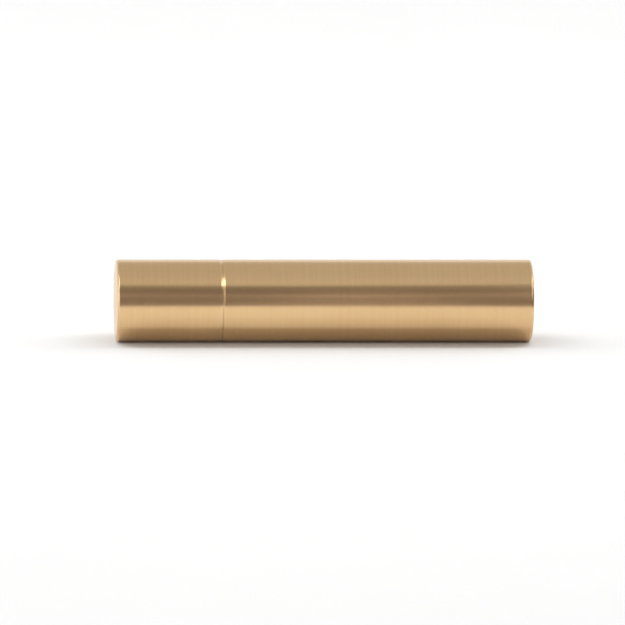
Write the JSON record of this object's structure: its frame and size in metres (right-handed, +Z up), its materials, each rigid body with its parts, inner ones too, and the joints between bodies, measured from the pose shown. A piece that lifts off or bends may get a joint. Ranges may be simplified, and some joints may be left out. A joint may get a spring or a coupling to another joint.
{
  "type": "soldering tip cleaning brush",
  "caption": "Pocket brass-wire brush for cleaning soldering tips: plain turned brass tube with a pull-off cap, wires in a collet and a screw plug at the rear.",
  "frame": {"origin": "middle of the underside, halfway along the closed tool as it lies on a surface", "axes": "+X along the tool from the cap's closed end to the plug end, +Z up, +Y across"},
  "size_m": [0.0508, 0.01, 0.01],
  "materials": {
    "case_brass": "fine turned, lightly polished",
    "fitting_brass": "as turned",
    "wire_brass": "bright drawn wire",
    "spring_steel": "satin",
    "black_rubber": "moulded, slightly greased",
    "red_fibre": "matt vulcanised fibre"
  },
  "bodies": {
    "handle": {"barrel": "case_brass", "neck_bush": "fitting_brass", "cap_o_ring": "black_rubber"},
    "cap": {"cap_shell": "case_brass"},
    "collet": {"collet": "fitting_brass"},
    "nut": {"collet_nut": "fitting_brass", "nut_retaining_ring": "spring_steel"},
    "refill": {"bristle_bundle": "wire_brass", "bundle_ferrule": "fitting_brass"},
    "plug_seal": {"plug_gasket": "red_fibre"},
    "plug": {"end_plug": "case_brass"}
  },
  "joints": [
    {"name": "cap_pull", "type": "slide", "parent": "handle", "child": "cap", "axis": [-1, 0, 0], "range_m": [0, 0.02]},
    {"name": "collet_draw", "type": "slide", "parent": "handle", "child": "collet", "axis": [-1, 0, 0], "range_m": [0, 0.0005]},
    {"name": "nut_turn", "type": "hinge", "parent": "collet", "child": "nut", "pos_m": [-0.019, 0, 0.005], "axis": [-1, 0, 0], "range_deg": [0, 360]},
    {"name": "bundle_retract", "type": "slide", "parent": "handle", "child": "refill", "axis": [1, 0, 0], "range_m": [0, 0.0028]},
    {"name": "plug_travel", "type": "slide", "parent": "handle", "child": "plug_seal", "axis": [1, 0, 0], "range_m": [0, 0.00375]},
    {"name": "plug_turn", "type": "hinge", "parent": "plug_seal", "child": "plug", "pos_m": [0.024, 0, 0.005], "axis": [1, 0, 0], "range_deg": [0, 1800]}
  ],
  "couplings": [
    {"joint": "nut_turn", "follows": "collet_draw", "rad_per_m": 12566},
    {"joint": "plug_turn", "follows": "plug_travel", "rad_per_m": 8377.6}
  ]
}
